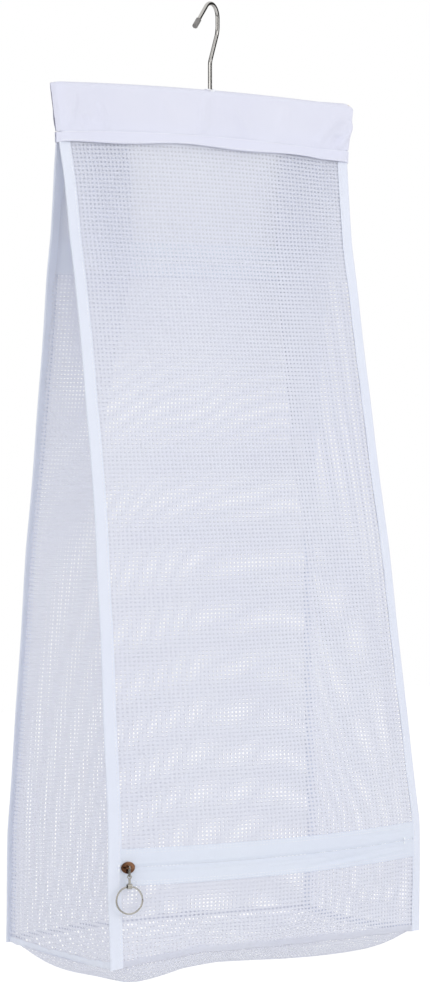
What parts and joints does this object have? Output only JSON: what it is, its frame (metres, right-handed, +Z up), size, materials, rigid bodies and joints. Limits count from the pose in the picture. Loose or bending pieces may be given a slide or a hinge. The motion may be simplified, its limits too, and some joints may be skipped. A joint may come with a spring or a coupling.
{
  "type": "mesh laundry bag",
  "caption": "Hanging mesh laundry bag on a swivel hook: pleated sides, a loading zip high on the back and an emptying zip low on the front.",
  "frame": {"origin": "inside of the hook's crook at its highest point, where the rail carries the bag", "axes": "+Z up, the front with the low zip faces -Y, +X to the right seen from the front"},
  "size_m": [0.384, 0.2274, 0.9498],
  "materials": {
    "chrome": "polished",
    "clear_vinyl": "satin",
    "steel": "satin",
    "bar_wood": "sanded",
    "bush_brass": "turned",
    "sleeve_cloth": "plain weave",
    "thread": "thread",
    "mesh": "open square mesh",
    "solid_cloth": "plain weave",
    "binding": "folded tape",
    "zip_tape": "ribbed tape",
    "zip_coil": "moulded",
    "stop_metal": "white enamel",
    "slider_bronze": "antique bronze",
    "bright_ring": "nickel plate",
    "bright_link": "nickel plate"
  },
  "bodies": {
    "hook": {"hook": "chrome", "hook_tip_sleeve": "clear_vinyl", "hook_washer": "steel"},
    "bag": {"hanger_bar": "bar_wood", "bar_bush": "bush_brass", "sleeve": "sleeve_cloth", "hook_eyelet": "thread", "sleeve_hem_front": "sleeve_cloth", "sleeve_hem_back": "sleeve_cloth", "front_panel_upper": "mesh", "front_panel_lower": "mesh", "back_panel_upper": "solid_cloth", "back_panel_lower": "mesh", "gusset_left_top": "solid_cloth", "gusset_left_band": "solid_cloth", "gusset_left_mesh": "mesh", "gusset_right_top": "solid_cloth", "gusset_right_band": "solid_cloth", "gusset_right_mesh": "mesh", "bottom_panel": "mesh", "binding_front_left": "binding", "binding_front_right": "binding", "binding_back_left": "binding", "binding_back_right": "binding", "bottom_binding_front": "binding", "bottom_binding_back": "binding", "bottom_binding_left": "binding", "bottom_binding_right": "binding", "front_zip_tape_upper": "zip_tape", "front_zip_tape_lower": "zip_tape", "front_zip_coil": "zip_coil", "front_zip_stops": "stop_metal", "rear_zip_tape_upper": "zip_tape", "rear_zip_tape_lower": "zip_tape", "rear_zip_coil": "zip_coil", "rear_zip_stops": "stop_metal"},
    "front_slider": {"front_slider": "slider_bronze"},
    "front_jump_ring": {"front_jump_ring": "bright_ring"},
    "front_pull_link": {"front_pull_link": "bright_link"},
    "front_pull_ring": {"front_pull_ring": "bright_ring"},
    "rear_slider": {"rear_slider": "slider_bronze"},
    "rear_jump_ring": {"rear_jump_ring": "bright_ring"},
    "rear_pull_link": {"rear_pull_link": "bright_link"},
    "rear_pull_ring": {"rear_pull_ring": "bright_ring"}
  },
  "joints": [
    {"name": "hook_swivel", "type": "hinge", "parent": "hook", "child": "bag", "pos_m": [0, 0, -0.105], "axis": [0, 0, 1], "continuous": true},
    {"name": "front_zip_run", "type": "hinge", "parent": "bag", "child": "front_slider", "pos_m": [0, 0.46514, -0.8386], "axis": [0, 0, 1], "range_deg": [0, 32.98]},
    {"name": "front_jump_ring_swing", "type": "hinge", "parent": "front_slider", "child": "front_jump_ring", "pos_m": [-0.1675, -0.10077, -0.8386], "axis": [-0.9589, 0.2838, 0], "range_deg": [0, 100]},
    {"name": "front_pull_link_swing", "type": "hinge", "parent": "front_jump_ring", "child": "front_pull_link", "pos_m": [-0.1675, -0.10077, -0.84665], "axis": [0.2838, 0.9589, 0], "range_deg": [-35, 35]},
    {"name": "front_pull_ring_swing", "type": "hinge", "parent": "front_pull_link", "child": "front_pull_ring", "pos_m": [-0.1675, -0.10077, -0.85585], "axis": [-0.9589, 0.2838, 0], "range_deg": [0, 80]},
    {"name": "rear_zip_run", "type": "slide", "parent": "bag", "child": "rear_slider", "axis": [-1, 0, 0], "range_m": [0, 0.296]},
    {"name": "rear_jump_ring_swing", "type": "hinge", "parent": "rear_slider", "child": "rear_jump_ring", "pos_m": [0.148, 0.02639, -0.25305], "axis": [1, 0, 0], "range_deg": [0, 100]},
    {"name": "rear_pull_link_swing", "type": "hinge", "parent": "rear_jump_ring", "child": "rear_pull_link", "pos_m": [0.148, 0.02799, -0.26094], "axis": [0, -0.9802, -0.1982], "range_deg": [-35, 35]},
    {"name": "rear_pull_ring_swing", "type": "hinge", "parent": "rear_pull_link", "child": "rear_pull_ring", "pos_m": [0.148, 0.02981, -0.26996], "axis": [1, 0, 0], "range_deg": [0, 80]}
  ]
}
